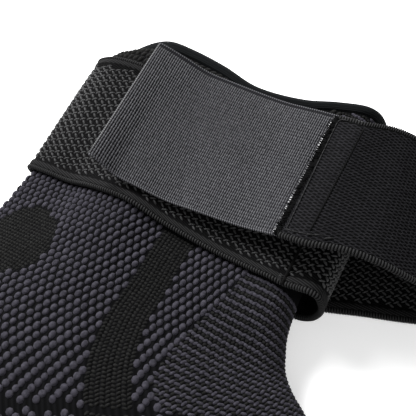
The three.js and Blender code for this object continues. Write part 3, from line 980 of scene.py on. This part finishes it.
def add_sewing():
    """The seam at the instep, its bar tack, and the box stitch and the crease near the strap's end. The
    seam's thick near-black line is its stitching with painted shade where the strap is pulled in, and the
    crease is a near-black yarn of painted shade.
    """
    end = STRAP_LENGTH
    seam = [(SEAM_AT + 1.4, 0.4, 0.85), (SEAM_AT + 1.5, 12, 0.8), (SEAM_AT + 1.5, 24, 0.8)]
    tack = [(SEAM_AT + 0.6 - 1.4 * (k % 2), 0.9 + 0.45 * k, 1.15) for k in range(8)]
    box = [(end - 4.8, 48, 1), (end - 1.9, 47.8, 1), (end - 3.2, 2.8, 0.95), (end - 14, 4.2, 0.95)]
    last = [(end - 14.8, 3.2, 1), (end - 16.6, 3.6, 1)]
    across = np.linspace(47, 5, 22)
    crease = yarn(np.stack([end - 9.9 - across / 52, across, 0 * across - 0.84], axis=-1), [0.24] * 22, 6)
    return [
        sew("seam_line", strap, seam, painted_shade_thread, 0.5, 3),
        sew("bar_tack", strap, tack, sewing_thread, 0.2, 1.4),
        sew("box_stitch", strap, box, sewing_thread, 0.2, 2.3, face=-1),
        # The crease is drawn as a near-black yarn: painted shade in the fold.
        lay("crease", strap, np.zeros(1), np.zeros(1), crease, painted_shade_thread),
        sew("last_stitch", strap, last, sewing_thread, 0.38, 3, face=-1),
    ]


# Hook tape

def add_tape_ground():
    """The tape's woven body, dark between the dashes with painted shade, with both long edges a little
    lighter and smoother, and the free end smoother and lighter still, that lightness a painted highlight on
    its lifted edge.
    """
    rows = np.linspace(0.1, TAB_LENGTH + TAB_OVERLAP, 90)
    top = mirrored([(0.1, 0.1), (TAPE_EDGE, 0.4), (8, 0.4), (16, 0.4), (25, 0.4)])
    below = [(across, -0.5) for across, _ in reversed(top)]
    piece = band("tape_ground_and_shade", tab, rows, top + below, tape_ground_and_shade)
    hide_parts("hook_tab")
    edge = [(0, 0.1), (0.15, 0.5), (TAPE_EDGE - 0.15, 0.55), (TAPE_EDGE, 0.4)]
    edge += [(across, -0.1 if across == 0 else -0.55) for across, _ in reversed(edge)]
    far_edge = [(STRAP_WIDTH - across, up) for across, up in edge]
    far_edge = far_edge[3::-1] + far_edge[:3:-1]
    free_end = top[1:-1] + below[1:-1]
    free_end = [(across, 0.56 if up > 0 else up - 0.05) for across, up in free_end]
    return piece, [
        band("tape_near_edge", tab, rows, edge, tape_selvedge),
        band("tape_far_edge", tab, rows, far_edge, tape_selvedge),
        # The free end's lighter colour is a painted highlight on the lifted edge.
        band("tape_free_end", tab, np.array([0, 0.2, 0.45]), free_end, tape_end_highlight),
    ]


def add_tape_dashes():
    """Raised dashes of the weave that overlap in columns across the tape."""
    points, faces = dome([(0.75, 0.75), (1.0, 0.0)], 6)
    template = points * [TAPE_COLUMN * 0.37, TAPE_DASH * 0.6, 0.3] + [0, 0, 0.36], faces
    columns = np.arange(1, TAB_LENGTH + 1.5, TAPE_COLUMN)
    dashes = np.arange(TAPE_EDGE + 0.5, STRAP_WIDTH - TAPE_EDGE - 1, TAPE_DASH)
    along, across = pairs(columns, dashes)
    return lay("tape_dashes", tab, along.ravel(), across.ravel(), template, tape_yarn, 0.03)


def add_hooks():
    """Small hooks under the tape."""
    template = yarn([(-0.1, 0, -0.45), (0, 0, -0.8), (0.2, 0, -1.02), (0.42, 0, -0.88)], [0.1] * 4, 4)
    along, across = pairs(
        np.arange(2, TAB_LENGTH + TAB_OVERLAP - 2, 1.7), np.arange(4, STRAP_WIDTH - 3.5, 1.7))
    return lay("tape_hooks", tab, along.ravel(), across.ravel(), template, tape_yarn, 0.05)


# Stretches of the tape's sewn end, across it, where cut filaments stand out most
FILAMENTS = [(1.2, 2.2), (9.4, 15.2), (35.6, 39.6), (43.8, 46)]


def add_filaments():
    """Bright ends of filaments along the tape's sewn end."""
    across = np.arange(0.8, STRAP_WIDTH - 0.8, 0.9)
    strong = np.any([(across > low) & (across < high) for low, high in FILAMENTS], axis=0)
    size = np.where(strong, 1.0, 0.4) * random.uniform(0.8, 1.15, len(across))
    points, faces = dome([(0.8, 0.6), (1, 0), (0.7, -0.6)], 6)
    a = TAB_LENGTH - 0.25 + points[None, :, 0] * 0.3 * size[:, None]
    b = across[:, None] + points[None, :, 1] * 0.28 * size[:, None]
    up = 0.66 + points[None, :, 2] * 0.26 * size[:, None]
    placed = tab.at(a, b, up)
    faces = repeated(faces, len(across), len(points))
    return add_mesh("tape_filaments", placed, faces, filament, np.stack([a, b], axis=-1))


# Studio

def add_floor():
    """A plain pale floor with a little light of its own, which keeps the sleeve's shadow light."""
    mesh = bpy.data.meshes.new("floor")
    corners = [(x * FLOOR_REACH, y * FLOOR_REACH, 0) for x, y in ((-1, -1), (1, -1), (1, 1), (-1, 1))]
    mesh.from_pydata(corners, [], [(0, 1, 2, 3)])
    material, base = shader("floor", FLOOR, 0.9, 0.0, 0.1)
    base.inputs["Emission Color"].default_value = (1, 1, 1, 1)
    base.inputs["Emission Strength"].default_value = FLOOR_GLOW
    mesh.materials.append(material)
    floor = bpy.data.objects.new("floor", mesh)
    bpy.context.scene.collection.objects.link(floor)


def add_light(name, place, size, power):
    """A square soft light that faces the sleeve."""
    light = bpy.data.lights.new(name, "AREA")
    light.size = size
    light.energy = power
    lamp = bpy.data.objects.new(name, light)
    lamp.location = place
    lamp.rotation_euler = (-Vector(place)).to_track_quat("-Z", "Y").to_euler()
    bpy.context.scene.collection.objects.link(lamp)


def add_studio():
    add_floor()
    add_light("key_light", *KEY_LIGHT)
    add_light("fill_light", *FILL_LIGHT)
    world = bpy.data.worlds.new("studio")
    world.use_nodes = True
    background = world.node_tree.nodes["Background"]
    background.inputs["Color"].default_value = (1, 1, 1, 1)
    background.inputs["Strength"].default_value = SURROUND
    bpy.context.scene.world = world
    bpy.context.scene.view_settings.view_transform = "Standard"


def add_camera():
    camera = bpy.data.cameras.new("camera")
    camera.sensor_width = SENSOR
    camera.lens = CAMERA_FOCAL / PICTURE_SIDE * SENSOR
    azimuth, elevation = math.radians(CAMERA_AZIMUTH), math.radians(CAMERA_ELEVATION)
    back = Vector((math.sin(azimuth) * math.cos(elevation), -math.cos(azimuth) * math.cos(elevation),
                   math.sin(elevation)))
    holder = bpy.data.objects.new("camera", camera)
    holder.location = Vector(metres(CAMERA_TARGET)) + back * CAMERA_DISTANCE * MM
    holder.rotation_euler = back.to_track_quat("Z", "Y").to_euler()
    camera.clip_start = 0.01
    bpy.context.scene.collection.objects.link(holder)
    bpy.context.scene.camera = holder


tube = add_tube()
stitches = add_stitches()
hems = [add_hem("leg_hem_roll", "leg_hem", 0, -1), add_hem("toe_hem_roll", "toe_hem", TOE, 1)]
webbing_body = add_strap_ground()
on_webbing = [add_strap_loops(), add_strap_edges(), *add_plain_edges(), add_face_yarns(), add_raw_edge(),
              *add_sewing()]
tape, on_tape = add_tape_ground()
on_tape += [add_tape_dashes(), add_hooks(), add_filaments()]

add_studio()
add_camera()
